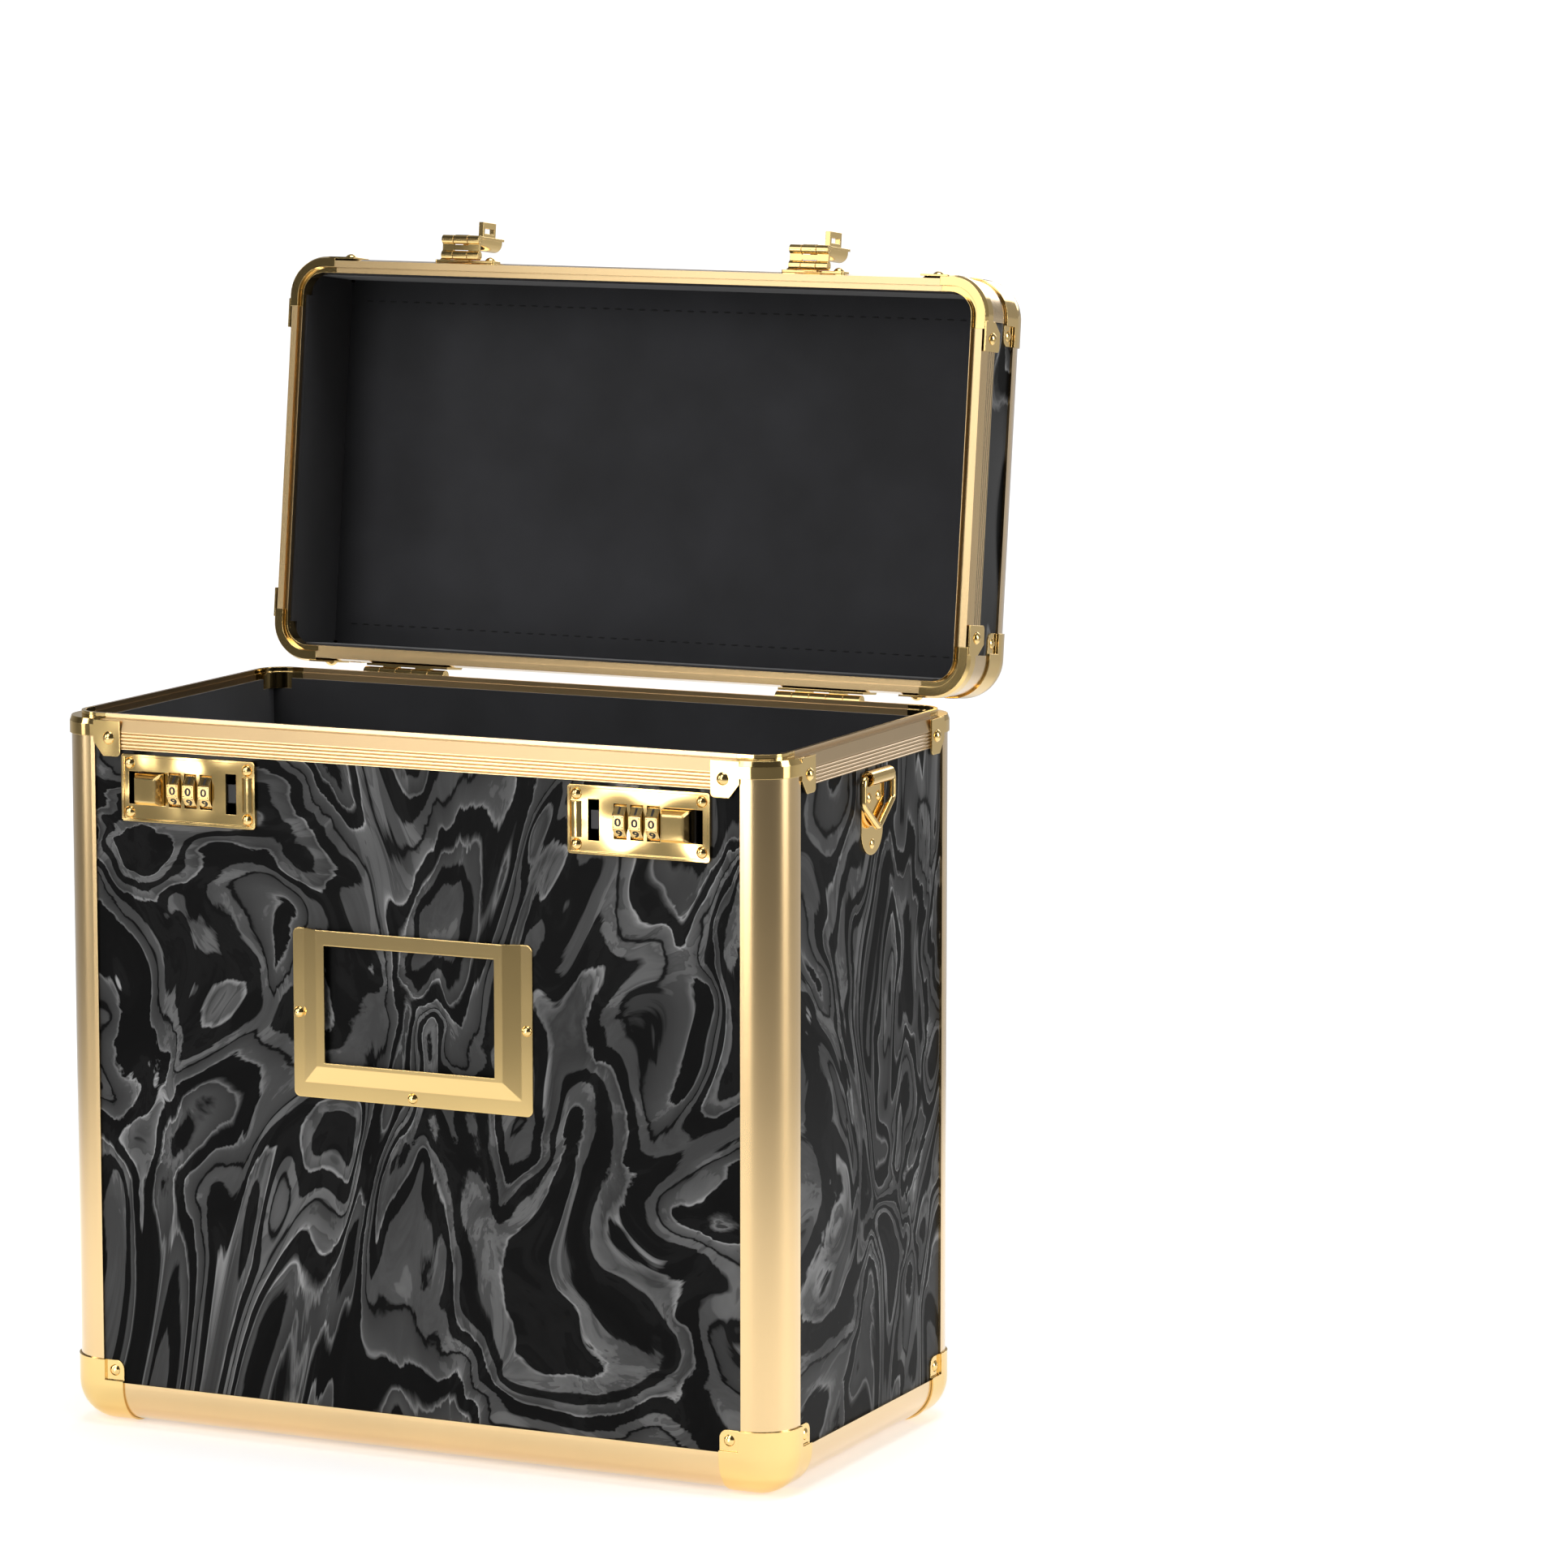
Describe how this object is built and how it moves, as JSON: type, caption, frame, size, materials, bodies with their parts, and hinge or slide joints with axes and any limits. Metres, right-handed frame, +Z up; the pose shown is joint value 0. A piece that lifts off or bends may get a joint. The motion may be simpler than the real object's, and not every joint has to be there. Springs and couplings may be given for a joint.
{
  "type": "record carrying case",
  "caption": "Upright carrying case for long-playing records: board panels in rounded metal edge profiles, hinged lid, combination hasp locks, folding top handle and strap rings.",
  "frame": {"origin": "centre of the base's footprint, on the surface that the case stands on", "axes": "+Z up, -Y the front with the locks and card holder, +Y the hinge side"},
  "size_m": [0.3796, 0.2966, 0.5484],
  "materials": {
    "marbled_board": "glossy black and grey marbled laminate on board",
    "lining_cloth": "matt black lining",
    "gold_aluminium": "satin gold anodised",
    "polished_gold": "polished gold plated",
    "wheel_gold": "polished gold plated",
    "zinc_steel": "zinc plated",
    "grip_rubber": "satin black"
  },
  "bodies": {
    "base": {"base_front_panel": "marbled_board", "base_back_panel": "marbled_board", "base_left_panel": "marbled_board", "base_right_panel": "marbled_board", "base_floor_panel": "marbled_board", "base_corner_posts": "gold_aluminium", "base_bottom_rails": "gold_aluminium", "base_rim_rails": "gold_aluminium", "base_rim_brackets": "polished_gold", "base_corner_caps": "polished_gold", "base_lining": "lining_cloth", "base_rivets": "polished_gold", "card_holder": "polished_gold", "lock_plate_left": "polished_gold", "lock_plate_right": "polished_gold", "lock_housing_left": "zinc_steel", "lock_housing_right": "zinc_steel", "wheel_axle_left": "zinc_steel", "wheel_axle_right": "zinc_steel", "strap_ring_brackets": "polished_gold", "hinge_base_leaves": "polished_gold", "hinge_pins": "polished_gold"},
    "lid": {"lid_top_panel": "marbled_board", "lid_front_panel": "marbled_board", "lid_back_panel": "marbled_board", "lid_left_panel": "marbled_board", "lid_right_panel": "marbled_board", "lid_corner_posts": "gold_aluminium", "lid_top_rails": "gold_aluminium", "lid_rim_rails": "gold_aluminium", "lid_rim_brackets": "polished_gold", "lid_corner_caps": "polished_gold", "lid_lining": "lining_cloth", "lid_rivets": "polished_gold", "hinge_lid_leaves": "polished_gold", "handle_brackets": "polished_gold", "handle_pins": "polished_gold", "hasp_plates": "polished_gold", "hasp_upper_pins": "polished_gold"},
    "handle": {"handle_frame": "polished_gold", "handle_grip": "grip_rubber"},
    "hasp_link_left": {"hasp_link_left": "polished_gold", "hasp_lower_pin_left": "polished_gold"},
    "hasp_leaf_left": {"hasp_leaf_left": "polished_gold"},
    "button_left": {"lock_button_left": "polished_gold", "lock_bolt_left": "zinc_steel"},
    "wheel_left_1": {"number_wheel_left_1": "wheel_gold"},
    "wheel_left_2": {"number_wheel_left_2": "wheel_gold"},
    "wheel_left_3": {"number_wheel_left_3": "wheel_gold"},
    "strap_ring_left": {"strap_ring_left": "polished_gold"},
    "hasp_link_right": {"hasp_link_right": "polished_gold", "hasp_lower_pin_right": "polished_gold"},
    "hasp_leaf_right": {"hasp_leaf_right": "polished_gold"},
    "button_right": {"lock_button_right": "polished_gold", "lock_bolt_right": "zinc_steel"},
    "wheel_right_1": {"number_wheel_right_1": "wheel_gold"},
    "wheel_right_2": {"number_wheel_right_2": "wheel_gold"},
    "wheel_right_3": {"number_wheel_right_3": "wheel_gold"},
    "strap_ring_right": {"strap_ring_right": "polished_gold"}
  },
  "joints": [
    {"name": "lid_hinge", "type": "hinge", "parent": "base", "child": "lid", "pos_m": [0, 0.1023, 0.33215], "axis": [-1, 0, 0], "range_deg": [-97, 0]},
    {"name": "handle_pivot", "type": "hinge", "parent": "lid", "child": "handle", "pos_m": [0, 0.18355, 0.43632], "axis": [1, 0, 0], "range_deg": [-7, 165]},
    {"name": "hasp_link_left_pivot", "type": "hinge", "parent": "lid", "child": "hasp_link_left", "pos_m": [-0.0923, 0.12919, 0.53347], "axis": [-1, 0, 0], "range_deg": [-90, 0]},
    {"name": "hasp_leaf_left_pivot", "type": "hinge", "parent": "hasp_link_left", "child": "hasp_leaf_left", "pos_m": [-0.0923, 0.1301, 0.54092], "axis": [-1, 0, 0], "range_deg": [-90, 0]},
    {"name": "hasp_link_right_pivot", "type": "hinge", "parent": "lid", "child": "hasp_link_right", "pos_m": [0.0923, 0.12919, 0.53347], "axis": [-1, 0, 0], "range_deg": [-90, 0]},
    {"name": "hasp_leaf_right_pivot", "type": "hinge", "parent": "hasp_link_right", "child": "hasp_leaf_right", "pos_m": [0.0923, 0.1301, 0.54092], "axis": [-1, 0, 0], "range_deg": [-90, 0]},
    {"name": "button_left_slide", "type": "slide", "parent": "base", "child": "button_left", "axis": [-1, 0, 0], "range_m": [0, 0.0048], "stiffness_N_per_m": 200, "springref_m": -0.002},
    {"name": "wheel_left_1_spin", "type": "hinge", "parent": "base", "child": "wheel_left_1", "pos_m": [-0.1054, -0.0912, 0.3013], "axis": [1, 0, 0], "continuous": true},
    {"name": "wheel_left_2_spin", "type": "hinge", "parent": "base", "child": "wheel_left_2", "pos_m": [-0.1136, -0.0912, 0.3013], "axis": [1, 0, 0], "continuous": true},
    {"name": "wheel_left_3_spin", "type": "hinge", "parent": "base", "child": "wheel_left_3", "pos_m": [-0.1218, -0.0912, 0.3013], "axis": [1, 0, 0], "continuous": true},
    {"name": "strap_ring_left_pivot", "type": "hinge", "parent": "base", "child": "strap_ring_left", "pos_m": [-0.1863, 0, 0.314], "axis": [0, 1, 0], "range_deg": [0, 150]},
    {"name": "button_right_slide", "type": "slide", "parent": "base", "child": "button_right", "axis": [1, 0, 0], "range_m": [0, 0.0048], "stiffness_N_per_m": 200, "springref_m": -0.002},
    {"name": "wheel_right_1_spin", "type": "hinge", "parent": "base", "child": "wheel_right_1", "pos_m": [0.1054, -0.0912, 0.3013], "axis": [1, 0, 0], "continuous": true},
    {"name": "wheel_right_2_spin", "type": "hinge", "parent": "base", "child": "wheel_right_2", "pos_m": [0.1136, -0.0912, 0.3013], "axis": [1, 0, 0], "continuous": true},
    {"name": "wheel_right_3_spin", "type": "hinge", "parent": "base", "child": "wheel_right_3", "pos_m": [0.1218, -0.0912, 0.3013], "axis": [1, 0, 0], "continuous": true},
    {"name": "strap_ring_right_pivot", "type": "hinge", "parent": "base", "child": "strap_ring_right", "pos_m": [0.1863, 0, 0.314], "axis": [0, -1, 0], "range_deg": [0, 150]}
  ]
}
